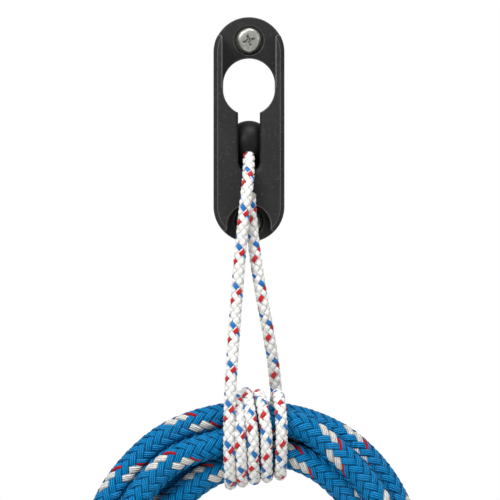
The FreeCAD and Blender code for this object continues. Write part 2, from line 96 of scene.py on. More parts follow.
def spread(tree, value, low, high):
    # goes smoothly from 0 to 1 between two values, and is held beyond them
    settings = {"clamp": True, "interpolation_type": "SMOOTHSTEP"}
    return put(tree, "ShaderNodeMapRange", settings, {0: value, 1: low, 2: high}).outputs[0]


def noise(tree, place, scale, detail, **more):
    inputs = {"Vector": place, "Scale": scale, "Detail": detail, **more}
    return put(tree, "ShaderNodeTexNoise", None, inputs).outputs[0]


def joined(tree, *parts):
    return put(tree, "ShaderNodeCombineXYZ", None, dict(enumerate(parts))).outputs[0]


def parted(tree, vector):
    return put(tree, "ShaderNodeSeparateXYZ", None, {0: vector}).outputs


def blendColours(tree, factor, first, second):
    node = put(tree, "ShaderNodeMix", {"data_type": "RGBA"}, {0: factor, 6: first, 7: second})
    return node.outputs[2]


def rgb(red, green, blue):
    # a colour as a screen shows it, 0 to 255, made linear
    parts = []
    for part in (red, green, blue):
        part /= 255
        parts.append(part / 12.92 if part <= 0.04045 else ((part + 0.055) / 1.055) ** 2.4)
    return (*parts, 1.0)


# shared shader effects
def makeGrain():
    # fine moulded texture: a height for a bump and a mask of paler specks
    inputs = [("Scale", "Float", 2600.0), ("Speck Size", "Float", 900.0)]
    outputs = [("Height", "Float"), ("Specks", "Float")]
    tree, _ = newGroup("mouldedGrain", "ShaderNodeTree", inputs, outputs)
    source = put(tree, "NodeGroupInput")
    place = put(tree, "ShaderNodeTexCoord").outputs["Object"]
    fine = noise(tree, place, source.outputs["Scale"], 3.0)
    inputs = {"Vector": place, "Scale": source.outputs["Speck Size"]}
    pits = put(tree, "ShaderNodeTexVoronoi", None, inputs)
    height = maths(tree, "MULTIPLY_ADD", pits.outputs["Distance"], -0.35, fine)
    specks = spread(tree, noise(tree, place, source.outputs["Speck Size"], 5.0), 0.56, 0.74)
    put(tree, "NodeGroupOutput", None, {"Height": height, "Specks": specks})
    return tree


def makeEdgeLight():
    # a mask that is 1 along a solid's edges, and a rounded normal for them
    inputs = [("Radius", "Float", 0.0005)]
    outputs = [("Mask", "Float"), ("Normal", "Vector")]
    tree, _ = newGroup("edgeLight", "ShaderNodeTree", inputs, outputs)
    source = put(tree, "NodeGroupInput")
    inputs = {"Radius": source.outputs["Radius"]}
    rounded = put(tree, "ShaderNodeBevel", {"samples": 6}, inputs).outputs[0]
    flat = put(tree, "ShaderNodeNewGeometry").outputs["Normal"]
    agree = vectorMaths(tree, "DOT_PRODUCT", rounded, flat)
    mask = spread(tree, agree, 0.995, 0.86)
    put(tree, "NodeGroupOutput", None, {"Mask": mask, "Normal": rounded})
    return tree


def makeDust():
    # soft drifts of dust and handling, as a mask
    inputs = [("Scale", "Float", 60.0), ("Amount", "Float", 0.5)]
    tree, _ = newGroup("dustDrift", "ShaderNodeTree", inputs, [("Mask", "Float")])
    source = put(tree, "NodeGroupInput")
    place = put(tree, "ShaderNodeTexCoord").outputs["Object"]
    cloud = noise(tree, place, source.outputs["Scale"], 6.0, Roughness=0.6)
    mask = maths(tree, "MULTIPLY", spread(tree, cloud, 0.42, 0.72), source.outputs["Amount"])
    put(tree, "NodeGroupOutput", None, {"Mask": mask})
    return tree


def makeYarnRows():
    # the yarns that lie side by side in one braided strand: U runs along it in metres,
    # V goes once round it
    inputs = [
        ("Yarns", "Float", 5.0),
        ("Fibre Length", "Float", 300.0),
        ("Fibre Width", "Float", 9.0),
    ]
    outputs = [("Height", "Float"), ("Shade", "Float"), ("Across", "Float")]
    tree, _ = newGroup("yarnRows", "ShaderNodeTree", inputs, outputs)
    source = put(tree, "NodeGroupInput")
    place = put(tree, "ShaderNodeUVMap", {"uv_map": "UVMap"}).outputs[0]
    along, around = parted(tree, place)[:2]
    across = maths(tree, "SINE", maths(tree, "MULTIPLY", around, turn))
    rowStep = maths(tree, "MULTIPLY", source.outputs["Yarns"], math.pi / 2)
    row = maths(tree, "MULTIPLY", across, rowStep)
    # each yarn's ridge bumps the surface and, through Shade, paints shade into the grooves between
    # yarns
    ridge = maths(tree, "POWER", maths(tree, "ABSOLUTE", maths(tree, "COSINE", row)), 0.8)
    # fibres run along the yarns with a little lay
    slant = maths(tree, "MULTIPLY", across, 1.4)
    lay = maths(tree, "MULTIPLY_ADD", along, source.outputs["Fibre Length"], slant)
    width = maths(tree, "MULTIPLY", across, source.outputs["Fibre Width"])
    fibres = noise(tree, joined(tree, lay, width), 1.0, 4.0)
    height = maths(tree, "MULTIPLY_ADD", fibres, 0.7, ridge)
    # Shade: the fibres' own tone plus painted shade from the ridges
    halfRidge = maths(tree, "MULTIPLY", ridge, 0.5)
    shade = maths(tree, "MULTIPLY_ADD", spread(tree, fibres, 0.3, 0.7), 0.5, halfRidge)
    # painted shade: a strand's colour darkens where it tucks under its neighbours
    tuckedShade = spread(tree, maths(tree, "ABSOLUTE", across), 0.7, 1.0)
    shade = maths(tree, "MULTIPLY", shade, maths(tree, "MULTIPLY_ADD", tuckedShade, -0.85, 1.0))
    put(tree, "NodeGroupOutput", None, {"Height": height, "Shade": shade, "Across": across})
    return tree


mouldedGrain = makeGrain()
edgeLight = makeEdgeLight()
dustDrift = makeDust()
yarnRows = makeYarnRows()


def newMaterial(name, **plain):
    # a material with its Principled shader; plain values go straight onto its sockets
    material = bpy.data.materials.new(name)
    material.use_nodes = True
    tree = material.node_tree
    shader = tree.nodes["Principled BSDF"]
    for socketName, value in plain.items():
        shader.inputs[socketName.replace("_", " ")].default_value = value
    return material, tree, shader


def effect(tree, group, inputs=None):
    return put(tree, "ShaderNodeGroup", {"node_tree": group}, inputs).outputs


def feed(tree, shader, **sockets):
    # links values that vary to the Principled shader
    for socketName, value in sockets.items():
        tree.links.new(value, shader.inputs[socketName.replace("_", " ")])


def bumped(tree, height, strength, distance, normal=None):
    inputs = {"Height": height, "Strength": strength, "Distance": distance}
    if normal is not None:
        inputs["Normal"] = normal
    return put(tree, "ShaderNodeBump", None, inputs).outputs[0]


# plastics and metals
def blackPlastic(name, base, pale, edgeHighlight, roughness, edgeRadius, bump, gloss):
    # grained and a little dusty, with a painted highlight paler along its edges
    material, tree, shader = newMaterial(name, Specular_IOR_Level=gloss)
    grain = effect(tree, mouldedGrain)
    edge = effect(tree, edgeLight, {"Radius": edgeRadius})
    dust = effect(tree, dustDrift, {"Scale": 55.0, "Amount": 0.35})
    body = blendColours(tree, grain["Specks"], base, pale)
    dusty = blendColours(tree, dust["Mask"], body, pale)
    # painted highlight: the edges blend to a paler colour
    colour = blendColours(tree, maths(tree, "MULTIPLY", edge["Mask"], 0.8), dusty, edgeHighlight)
    rough = maths(tree, "MULTIPLY_ADD", grain["Height"], 0.12, roughness - 0.06)
    rough = maths(tree, "MULTIPLY_ADD", edge["Mask"], -0.1, rough)
    normal = bumped(tree, grain["Height"], 0.35, bump, edge["Normal"])
    feed(tree, shader, Base_Color=colour, Roughness=rough, Normal=normal)
    return material


def metal(name, base, edgeHighlight, roughness, edgeRadius, bump):
    material, tree, shader = newMaterial(name, Metallic=0.82)
    grain = effect(tree, mouldedGrain, {"Scale": 1500.0, "Speck Size": 1100.0})
    edge = effect(tree, edgeLight, {"Radius": edgeRadius})
    body = blendColours(tree, grain["Specks"], base, edgeHighlight)
    # painted highlight: the edges blend to the pale colour that the specks also take
    colour = blendColours(tree, edge["Mask"], body, edgeHighlight)
    rough = maths(tree, "MULTIPLY_ADD", grain["Height"], 0.18, roughness - 0.09)
    normal = bumped(tree, grain["Height"], 0.3, bump, edge["Normal"])
    feed(tree, shader, Base_Color=colour, Roughness=rough, Normal=normal)
    return material


bracketPlastic = blackPlastic(
    "bracketPlastic",
    base=rgb(29, 29, 29),
    pale=rgb(50, 50, 50),
    edgeHighlight=rgb(128, 127, 124),
    roughness=0.56,
    edgeRadius=0.0007,
    bump=0.00012,
    gloss=0.22,
)
ballPlastic = blackPlastic(
    "ballPlastic",
    base=rgb(15, 15, 16),
    pale=rgb(24, 24, 24),
    edgeHighlight=rgb(34, 34, 34),
    roughness=0.5,
    edgeRadius=0.0004,
    bump=0.00005,
    gloss=0.16,
)
screwSteel = metal(
    "screwSteel",
    base=rgb(164, 164, 158),
    edgeHighlight=rgb(226, 226, 222),
    roughness=0.34,
    edgeRadius=0.00018,
    bump=0.00005,
)
ferruleMetal = metal(
    "ferruleMetal",
    base=rgb(184, 160, 106),
    edgeHighlight=rgb(222, 206, 160),
    roughness=0.34,
    edgeRadius=0.00018,
    bump=0.00006,
)


# rope materials
def braidMaterial(name, dark, light, yarns, bump, roughness, marks, sheen, soil, gloss):
    # marks: strands that differ from the rest, each with its dark colour for painted shade and its
    # light colour for painted light, its middle and half width in strand numbers, and optionally a
    # band across that strand
    plain = {"Sheen_Weight": sheen, "Sheen_Roughness": 0.5, "Specular_IOR_Level": gloss}
    material, tree, shader = newMaterial(name, **plain)
    rows = effect(tree, yarnRows, yarns)
    strand = put(tree, "ShaderNodeAttribute", {"attribute_name": "strand"}).outputs["Fac"]
    # painted light and shade: Shade blends each strand between its shaded dark tone and its lit
    # light tone
    colour = blendColours(tree, rows["Shade"], dark, light)
    for markDark, markLight, middle, half, band in marks:
        marked = blendColours(tree, rows["Shade"], markDark, markLight)
        near = maths(tree, "COMPARE", strand, middle, half)
        if band:
            within = maths(tree, "COMPARE", rows["Across"], *band)
            near = maths(tree, "MULTIPLY", near, within)
        colour = blendColours(tree, near, colour, marked)
    dust = effect(tree, dustDrift, {"Scale": 90.0, "Amount": soil})
    colour = blendColours(tree, dust["Mask"], colour, rgb(120, 116, 108))
    rough = maths(tree, "MULTIPLY_ADD", rows["Shade"], -0.12, roughness)
    normal = bumped(tree, rows["Height"], 0.85, bump)
    feed(tree, shader, Base_Color=colour, Roughness=rough, Normal=normal)
    return material


lineBraid = braidMaterial(
    "lineBraid",
    dark=rgb(0, 22, 54),
    light=rgb(0, 152, 226),
    yarns={"Yarns": 4.0, "Fibre Length": 900.0, "Fibre Width": 8.0},
    bump=0.0008,
    roughness=0.6,
    marks=[
        (rgb(160, 158, 154), rgb(248, 247, 243), 2.5, 0.7, None),
        (rgb(140, 16, 30), rgb(206, 30, 38), 4.0, 0.4, (0.62, 0.36)),
    ],
    sheen=0.0,
    soil=0.04,
    gloss=0.12,
)
lanyardBraid = braidMaterial(
    "lanyardBraid",
    dark=rgb(190, 189, 186),
    light=rgb(250, 250, 248),
    yarns={"Yarns": 4.0, "Fibre Length": 1500.0, "Fibre Width": 6.0},
    bump=0.00014,
    roughness=0.68,
    marks=[
        (rgb(140, 4, 16), rgb(208, 16, 30), 1.0, 0.4, (0.2, 0.8)),
        (rgb(0, 60, 124), rgb(0, 122, 196), 5.0, 0.4, (0.2, 0.8)),
    ],
    sheen=0.15,
    soil=0.1,
    gloss=0.22,
)
print("materials made")


# routes and tubes
def readRoute(name, points):
    # the points of one smooth open spline, whose control points are in millimetres
    curve = bpy.data.curves.new(name, "CURVE")
    curve.dimensions = "3D"
    spline = curve.splines.new("NURBS")
    spline.points.add(len(points) - 1)
    for control, point in zip(spline.points, points):
        control.co = (*[part * mm for part in point], 1.0)
    spline.order_u = 3
    spline.use_endpoint_u = True
    spline.resolution_u = 10
    holder = bpy.data.objects.new(name, curve)
    mesh = bpy.data.meshes.new_from_object(holder)
    line = [vertex.co.copy() for vertex in mesh.vertices]
    bpy.data.meshes.remove(mesh)
    bpy.data.objects.remove(holder)
    return line


def lengthOf(line):
    return sum((after - before).length for before, after in zip(line, line[1:]))


def keepMesh(name, mesh, body):
    # a visible piece; one without a body is left unattached
    mesh.name = name
    piece = bpy.data.objects.new(name, mesh)
    scene.collection.objects.link(piece)
    if body:
        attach(piece, body)
    return piece


def meshFrom(item):
    # an object's mesh as its modifiers leave it
    graph = bpy.context.evaluated_depsgraph_get()
    graph.update()
    return bpy.data.meshes.new_from_object(item.evaluated_get(graph), depsgraph=graph)


def grown(name, tree, names, values, line=None, mesh=None):
    # runs a tree on a polyline or mesh and returns the plain mesh it makes
    host = mesh or bpy.data.meshes.new(name + "Path")
    if line:
        edges = [(i, i + 1) for i in range(len(line) - 1)]
        host.from_pydata([tuple(point) for point in line], edges, [])
    holder = bpy.data.objects.new(name + "Holder", host)
    scene.collection.objects.link(holder)
    modifier = holder.modifiers.new("grown", "NODES")
    modifier.node_group = tree
    for label, value in values.items():
        modifier[names[label]] = value
    made = meshFrom(holder)
    holder.modifiers.remove(modifier)
    bpy.data.objects.remove(holder)
    print("  %s: %d faces" % (name, len(made.polygons)))
    return made


def swept(tree, curve, profile):
    inputs = {"Curve": curve, "Profile Curve": profile, "Fill Caps": True}
    return put(tree, "GeometryNodeCurveToMesh", None, inputs).outputs[0]


def circle(tree, points, radius):
    inputs = {"Resolution": points, "Radius": radius}
    return put(tree, "GeometryNodeCurvePrimitiveCircle", {"mode": "RADIUS"}, inputs).outputs[0]


def store(tree, geometry, name, kind, value, domain="POINT"):
    settings = {"data_type": kind, "domain": domain}
    inputs = {"Geometry": geometry, "Name": name, "Value": value}
    return put(tree, "GeometryNodeStoreNamedAttribute", settings, inputs).outputs[0]


def stored(tree, name, kind="FLOAT"):
    settings = {"data_type": kind}
    return put(tree, "GeometryNodeInputNamedAttribute", settings, {"Name": name}).outputs[0]


def faceOut(tree, curve, normal):
    inputs = {"Curve": curve, "Normal": normal}
    return put(tree, "GeometryNodeSetCurveNormal", {"mode": "FREE"}, inputs).outputs[0]


def endTree(tree, geometry, material):
    real = put(tree, "GeometryNodeRealizeInstances", None, {"Geometry": geometry}).outputs[0]
    inputs = {"Geometry": real, "Material": material}
    coloured = put(tree, "GeometryNodeSetMaterial", None, inputs)
    put(tree, "NodeGroupOutput", None, {"Geometry": coloured.outputs[0]})


def makeBraidTree():
    # strands of one hand that go over and under so many others, round a path
    inputs = [
        ("Geometry", "Geometry", None),
        ("Pitch", "Float", 0.03),
        ("Radius", "Float", 0.004),
        ("Rise", "Float", 0.0006),
        ("Width", "Float", 0.003),
        ("Thickness", "Float", 0.001),
        ("Strands", "Int", 8),
        ("Hand", "Float", 1.0),
        ("Rings", "Int", 1000),
        ("Profile Points", "Int", 8),
        ("First Strand", "Float", 0.0),
        ("Over", "Float", 2.0),
        ("Turned", "Float", 0.0),
        ("Start", "Float", 0.0),
        ("Material", "Material", None),
    ]
    tree, names = newGroup("braid", "GeometryNodeTree", inputs, [("Geometry", "Geometry")])
    source = put(tree, "NodeGroupInput").outputs
    path = put(tree, "GeometryNodeMeshToCurve", None, {"Mesh": source["Geometry"]}).outputs[0]
    inputs = {"Curve": path, "Count": source["Rings"]}
    even = put(tree, "GeometryNodeResampleCurve", None, inputs).outputs[0]
    inputs = {"Geometry": even, "Amount": source["Strands"]}
    copies = put(tree, "GeometryNodeDuplicateElements", {"domain": "SPLINE"}, inputs)
    index = copies.outputs["Duplicate Index"]
    length = put(tree, "GeometryNodeSplineParameter").outputs["Length"]
    along = maths(tree, "ADD", length, source["Start"])
    share = maths(tree, "DIVIDE", index, source["Strands"])
    winding = maths(tree, "DIVIDE", along, source["Pitch"])
    around = maths(tree, "ADD", maths(tree, "MULTIPLY", winding, source["Hand"]), share)
    angle = maths(tree, "MULTIPLY", maths(tree, "ADD", around, source["Turned"]), turn)
    normal = put(tree, "GeometryNodeInputNormal").outputs[0]
    tangent = put(tree, "GeometryNodeInputTangent").outputs[0]
    side = vectorMaths(tree, "CROSS_PRODUCT", tangent, normal)
    radial = vectorMaths(
        tree, "ADD",
        vectorMaths(tree, "SCALE", normal, maths(tree, "COSINE", angle)),
        vectorMaths(tree, "SCALE", side, maths(tree, "SINE", angle)),
    )
    # it rises over one or two crossings and dips under as many; early centres the rise
    early = maths(tree, "MULTIPLY_ADD", source["Over"], 0.25, -0.25)
    early = maths(tree, "DIVIDE", early, source["Strands"])
    swing = maths(tree, "DIVIDE", maths(tree, "MULTIPLY", source["Strands"], turn), source["Over"])
    phase = maths(tree, "MULTIPLY", maths(tree, "SUBTRACT", around, early), swing)
    rise = maths(tree, "MULTIPLY", maths(tree, "COSINE", phase), source["Rise"])
    reach = maths(tree, "ADD", source["Radius"], maths(tree, "MULTIPLY", rise, source["Hand"]))
    strandNumber = maths(tree, "ADD", index, source["First Strand"])
    strands = store(tree, copies.outputs["Geometry"], "radial", "FLOAT_VECTOR", radial)
    strands = store(tree, strands, "along", "FLOAT", along)
    strands = store(tree, strands, "strand", "FLOAT", strandNumber)
    inputs = {"Geometry": strands, "Offset": vectorMaths(tree, "SCALE", radial, reach)}
    moved = put(tree, "GeometryNodeSetPosition", None, inputs).outputs[0]
    turned = faceOut(tree, moved, stored(tree, "radial", "FLOAT_VECTOR"))
    # a flat profile, fuller towards its corners
    ring = circle(tree, source["Profile Points"], 0.5)
    spot = put(tree, "GeometryNodeInputPosition").outputs[0]
    parts = parted(tree, spot)
    corner = maths(tree, "MULTIPLY", maths(tree, "MULTIPLY", parts[0], parts[1]), 8.0)
    fuller = maths(tree, "MULTIPLY_ADD", maths(tree, "MULTIPLY", corner, corner), 0.16, 1.0)
    inputs = {"Geometry": ring, "Position": vectorMaths(tree, "SCALE", spot, fuller)}
    squarer = put(tree, "GeometryNodeSetPosition", None, inputs).outputs[0]
    factor = put(tree, "GeometryNodeSplineParameter").outputs["Factor"]
    rim = store(tree, squarer, "around", "FLOAT", factor)
    # the profile's X faces out of the path, and its seam is turned inwards
    backwards = [maths(tree, "MULTIPLY", source[label], -1.0) for label in ("Thickness", "Width")]
    inputs = {"Geometry": rim, "Scale": joined(tree, *backwards, 1.0)}
    flat = put(tree, "GeometryNodeTransform", None, inputs).outputs[0]
    solid = swept(tree, turned, flat)
    uv = joined(tree, stored(tree, "along"), stored(tree, "around"))
    mapped = store(tree, solid, "UVMap", "FLOAT2", uv, domain="CORNER")
    for label in ("radial", "along", "around"):
        inputs = {"Geometry": mapped, "Name": label}
        mapped = put(tree, "GeometryNodeRemoveAttribute", None, inputs).outputs[0]
    smooth = put(tree, "GeometryNodeSetShadeSmooth", None, {"Geometry": mapped}).outputs[0]
    endTree(tree, smooth, source["Material"])
    return tree, names


braidTree, braidNames = makeBraidTree()


def braidMesh(name, line, sizes, hand, material):
    rings = int(lengthOf(line) / (sizes["pitch"] * mm) * sizes["ringsPerPitch"])
    values = {
        "Pitch": sizes["pitch"] * mm,
        "Radius": sizes["braidRadius"] * mm,
        "Rise": sizes["rise"] * mm,
        "Width": sizes["strandWidth"] * mm,
        "Thickness": sizes["strandThickness"] * mm,
        "Strands": sizes["strands"],
        "Over": sizes["over"],
        "Turned": sizes["turned"],
        "Start": sizes["start"] * mm,
        "Hand": float(hand),
        "Rings": rings,
        "Profile Points": sizes["profilePoints"],
        "First Strand": 0.0 if hand > 0 else float(sizes["strands"]),
        "Material": material,
    }
    return grown(name, braidTree, braidNames, values, line=line)


def coreMesh(name, line, radius, material):
    curve = bpy.data.curves.new(name, "CURVE")
    curve.dimensions = "3D"
    spline = curve.splines.new("POLY")
    spline.points.add(len(line) - 1)
    for control, point in zip(spline.points, line):
        control.co = (*point, 1.0)
    curve.bevel_depth = radius * mm
    curve.bevel_resolution = 2
    curve.use_fill_caps = True
    holder = bpy.data.objects.new(name, curve)
    mesh = bpy.data.meshes.new_from_object(holder)
    bpy.data.objects.remove(holder)
    mesh.materials.clear()
    mesh.materials.append(material)
    mesh.shade_smooth()
    return mesh


def ropePieces(name, line, sizes, material, body):
    # a rope's strands of either hand and the core inside them
    pieces = []
    for ending, hand in (("_strands", 1), ("_counter_strands", -1)):
        mesh = braidMesh(name + ending, line, sizes, hand, material)
        pieces.append(keepMesh(name + ending, mesh, body))
    mesh = coreMesh(name + "_core", line, sizes["coreRadius"], material)
    pieces.append(keepMesh(name + "_core", mesh, body))
    return pieces


# the lashed coil
lineSizes = {
    "diameter": 10.8, "pitch": 34.0, "braidRadius": 4.05, "rise": 0.66, "strandWidth": 2.95,
    "strandThickness": 1.5, "ringsPerPitch": 28, "profilePoints": 8, "coreRadius": 3.85,
    "strands": 8,  # of each hand
    "over": 2.0, "turned": 0.0, "start": 0.0,  # the last two place the marked strands
}
coilSizes = {
    "centre": 1.2, "bundleDepth": -25.0, "bundleTop": -118.4, "bend": 53.6, "sides": 40.0,
    "outward": 0.7,  # the spline cuts inside its control points by this much
}
bundleEnds = {"left": -9.7, "right": 15.1}  # where the strands leave the lashing
# Each turn's place across the bundle, outwards from the ring's middle and backwards:
# stations are lengths round the ring from its foot, up the right side first.
stations = (84.2, 124.2, 173.8, 194.8, 219.4, 243.0, 292.6, 332.6, 416.8)
# The spline's control points stand at their own stations on every turn.
controlStations = (
    0, 21, 42, 63, 84.2, 104, 124.2, 141, 158, 173.8, 185, 194.8, 207, 219.4, 231, 243,
    260, 276, 292.6, 312.6, 332.6, 353, 374, 395,
)
turnPlaces = {
    "front": [
        (2, -7), (2.5, -7), (3.5, -7), (7.4, -5.9), (-1.9, -6.3), (0.3, -7), (-1, -7), (-1, -7),
        (-7.7, -5.6),
    ],
    "inner": [
        (-7, -3), (-6.5, -3), (-5.2, -3), (-5.5, -3.5), (-11.1, 0), (-12.9, 1), (-10.5, 1),
        (-9, 0), (-7.7, 5.6),
    ],
    "back": [
        (-3, 8), (-1.5, 8), (-1, 8.5), (-3.5, 6.6), (-1.5, 6.3), (-6.9, 9.5), (-3, 8.5),
        (-1, 8.5), (2.9, 9),
    ],
    "outer": [
        (7, 4), (8.5, 3), (9.7, 3), (8.6, 4.5), (8.3, 0), (9.4, 0), (9, -2), (8, -3), (9.5, 0),
    ],
}
leftTail = [(-21, -29, -305.6), (-20.2, -30.5, -292), (-16.6, -33.6, -280.5), (-9, -35, -272.8)]
rightTail = [(9.6, -25.2, -277.6), (17.2, -26.6, -283.4), (21, -28.4, -290.6), (22, -29, -298.6)]


def ringPoint(station, outward, backward):
    # a point beside the ring's middle line, in millimetres
    bend, side, extra = coilSizes["bend"], coilSizes["sides"], coilSizes["outward"]
    quarter, top = bend * math.pi / 2, coilSizes["bundleTop"] - bend
    station %= 4 * quarter + 2 * side
    if station < quarter:
        angle, middle = station / bend - math.pi / 2, top - side
    elif station < quarter + side:
        angle, middle, extra = 0.0, top - side + station - quarter, 0.0
    elif station < 3 * quarter + side:
        angle, middle = (station - quarter - side) / bend, top
    elif station < 3 * quarter + 2 * side:
        angle, middle, extra = math.pi, top - (station - 3 * quarter - side), 0.0
    else:
        angle, middle = (station - 2 * side) / bend - math.pi / 2, top - side
    reach = bend + outward + extra
    x = coilSizes["centre"] + math.cos(angle) * reach
    return (x, coilSizes["bundleDepth"] + backward, middle + math.sin(angle) * reach)


def coilRoute():
    # four turns, each with its own places, and the line's two hanging ends
    points = list(leftTail)
    before = (2.9, -9)  # the first turn starts in front at the foot
    length = turn * coilSizes["bend"] + 2 * coilSizes["sides"]
    for name in ("front", "inner", "back", "outer"):
        keys = [(0.0, before)] + list(zip(stations, turnPlaces[name]))
        for station in controlStations:
            for (low, first), (high, second) in zip(keys, keys[1:]):
                if low <= station <= high:
                    share = (station - low) / (high - low)
                    share = share * share * (3 - 2 * share)
                    outward, backward = [a + (b - a) * share for a, b in zip(first, second)]
                    break
            points.append(ringPoint(station, outward, backward))
        before = turnPlaces[name][-1]
    points.append(ringPoint(length, *before))
    return points + rightTail


lineRoute = readRoute("lineRoute", coilRoute())
lineLength = lengthOf(lineRoute)
print("line is %.3f m long" % lineLength)

lineStrands, lineCounterStrands, lineCore = ropePieces(
    "line", lineRoute, lineSizes, lineBraid, "coil",
)
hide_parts("line_coil", "line_tail_left", "line_tail_right")

# the lanyard
lanyardSizes = {
    "diameter": 4.8, "pitch": 15.35, "braidRadius": 1.5, "rise": 0.4, "strandWidth": 2.15,
    "strandThickness": 1.0, "ringsPerPitch": 46, "profilePoints": 8, "coreRadius": 1.4,
    "strands": 4, "over": 1.0, "turned": -0.07, "start": -5.4,
}
lashing = {
    # sideways places of the five wraps: in front, below, behind, and over the top
    "wraps": [
        (-7.7, -7.0, -5.9, -4.8), (-3.3, -2.5, -2.1, -1.4), (1.5, 2.1, 2.7, 3.6),
        (6.8, 6.9, 8.8, 11.2), (12.7, 12.1, 12.0, 11.8),
    ],
    "topLift": (-0.6, 0.5, -0.3, -1.0),  # how far each loop stands up over the bundle
    "stepsPerTurn": 16,
    "squeezedLine": 10.4,
    "clearance": 0.15,
    "hug": 0.33,  # how closely the wraps follow each strand, against a round hoop
}
ballExit = {"centre": (0, -9.2, -4.7), "slope": 37.5, "tail": -8.4, "bend": 17.4}
frontLegRoute = [
    (-0.6, -27.3, -21.6), (-1.3, -28.5, -27.2), (-2.2, -29, -36), (-3.3, -29.8, -46),
    (-4.4, -31.3, -60), (-5.7, -33.9, -77), (-6.8, -37, -93), (-7.5, -39.6, -108),
]
backLegRoute = [
    (0.3, -23.3, -25.5), (0.9, -23.4, -34.5), (1.9, -23.35, -44.5), (3.3, -23.4, -55),
    (5.3, -23, -66.5), (7.5, -20.8, -78), (9.4, -17, -89.5), (10.6, -12.9, -101),
    (11.6, -9.7, -112),
]


def alongExit(reach):
    slope = math.radians(ballExit["slope"])
    x, y, z = ballExit["centre"]
    return (x, y - math.cos(slope) * reach, z - math.sin(slope) * reach)


def bundleAt(x):
    # the four strands' places inside the lashing, outwards and backwards
    share = (x - bundleEnds["left"]) / (bundleEnds["right"] - bundleEnds["left"])
    share = min(max(share, 0.0), 1.0)
    pairs = [zip(places[3], places[4]) for places in turnPlaces.values()]
    return [[left + (right - left) * share for right, left in pair] for pair in pairs]


def lashingRoute():
    # round the outside of the strands: down the front, under, up the back and over
    steps = lashing["stepsPerTurn"]
    sideways = [x for wrap in lashing["wraps"] for x in wrap]
    reach = lashing["squeezedLine"] / 2 + lanyardSizes["diameter"] / 2 + lashing["clearance"]
    points = []
    for index in range(steps * (len(lashing["wraps"]) - 1) + steps // 2 + 1):
        quarter, share = divmod(4 * index / steps, 1.0)
        quarter = int(quarter)
        x = sideways[quarter] + (sideways[quarter + 1] - sideways[quarter]) * share
        # how far out the wrap runs in each direction, and how fast that changes
        angle = turn * index / steps
        up, back = -math.sin(angle), -math.cos(angle)
        upWay, backWay = back, -up
        places = bundleAt(x)
        weights = [math.exp((out * up + deep * back) * lashing["hug"]) for out, deep in places]
        weighted = list(zip(weights, places))
        centre = [sum(w * at[axis] for w, at in weighted) / sum(weights) for axis in (0, 1)]
        lift = lashing["topLift"][min(quarter // 4, 3)]
        out = reach + math.log(sum(weights)) / lashing["hug"] + lift * max(up, 0.0) ** 2
        sidestep = centre[0] * upWay + centre[1] * backWay + 2 * lift * max(up, 0.0) * upWay
        y = coilSizes["bundleDepth"] + back * out + backWay * sidestep
        points.append((x, y, coilSizes["bundleTop"] + up * out + upWay * sidestep))
    return points


lanyardPoints = [alongExit(ballExit["tail"]), alongExit(ballExit["bend"])]
lanyardPoints += frontLegRoute + lashingRoute() + backLegRoute[::-1]
lanyardRoute = readRoute("lanyardRoute", lanyardPoints)
lanyardLength = lengthOf(lanyardRoute)
print("lanyard is %.3f m long" % lanyardLength)

lanyardStrands, lanyardCounterStrands, lanyardCore = ropePieces(
    "lanyard", lanyardRoute, lanyardSizes, lanyardBraid, None,
)
for piece in (lanyardStrands, lanyardCounterStrands, lanyardCore):
    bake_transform(piece)
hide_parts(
    "lanyard_stub", "lanyard_front_leg", "lanyard_back_leg", "lanyard_wraps",
)

# Whippings, stitches and heat-sealed ends.
endSizes = {
    "whippingLength": 11.0, "whippingInset": 3.0, "stepsPerTwineTurn": 20,
    "twine": 1.0, "twineRadius": 5.7,
    "lineSealRadius": 5.2, "lineSealLength": 1.5,
    "lanyardSealRadius": 2.35, "tailSealLength": 1.1, "endSealLength": 2.2, "endSealSlant": -0.5,
    "seamTop": -28.0, "seamStep": 1.25, "seamStitches": 9, "seamReach": 0.8,
    "seamThread": 0.55, "seamCorner": 0.3,
}
sealShape = {
    "segments": 28,
    # places along the melted end, as shares of its length, and the width at each
    "rings": (
        (-0.9, 0.2), (-0.8, 0.93), (-0.1, 1.0), (0.35, 1.03), (0.7, 0.92), (0.95, 0.62),
        (1.0, 0.25),
    ),
    # lumps round the end: size, number, phase, and how the phase turns along it
    "lumps": ((0.045, 3, 1.1, 0.0), (0.03, 7, 0.0, 2.7), (0.02, 11, 0.0, 0.0)),
    "waves": (0.12, 5, 0.6),
}


def plainFibre(name, dark, light, scale, bump, roughness):
    # twine, thread or melted fibre: fine noise gives its colour and relief
    material, tree, shader = newMaterial(name, Specular_IOR_Level=0.3)
    grain = effect(tree, mouldedGrain, {"Scale": scale, "Speck Size": scale * 0.6})
    dust = effect(tree, dustDrift, {"Scale": 140.0, "Amount": 0.5})
    colour = blendColours(tree, grain["Specks"], light, dark)
    colour = blendColours(tree, dust["Mask"], colour, dark)
    rough = maths(tree, "MULTIPLY_ADD", grain["Height"], 0.15, roughness - 0.07)
    normal = bumped(tree, grain["Height"], 0.6, bump)
    feed(tree, shader, Base_Color=colour, Roughness=rough, Normal=normal)
    return material


waxedTwine = plainFibre(
    "waxedTwine", dark=rgb(150, 145, 132), light=rgb(214, 210, 198),
    scale=3200.0, bump=0.0001, roughness=0.55,
)
sewingThread = plainFibre(
    "sewingThread", dark=rgb(170, 168, 162), light=rgb(232, 231, 226),
    scale=4200.0, bump=0.00006, roughness=0.6,
)
meltedWhite = plainFibre(
    "meltedWhite", dark=rgb(104, 102, 98), light=rgb(176, 174, 168),
    scale=1800.0, bump=0.0002, roughness=0.42,
)
meltedBlue = plainFibre(
    "meltedBlue", dark=rgb(8, 24, 44), light=rgb(16, 62, 104),
    scale=1600.0, bump=0.0002, roughness=0.38,
)


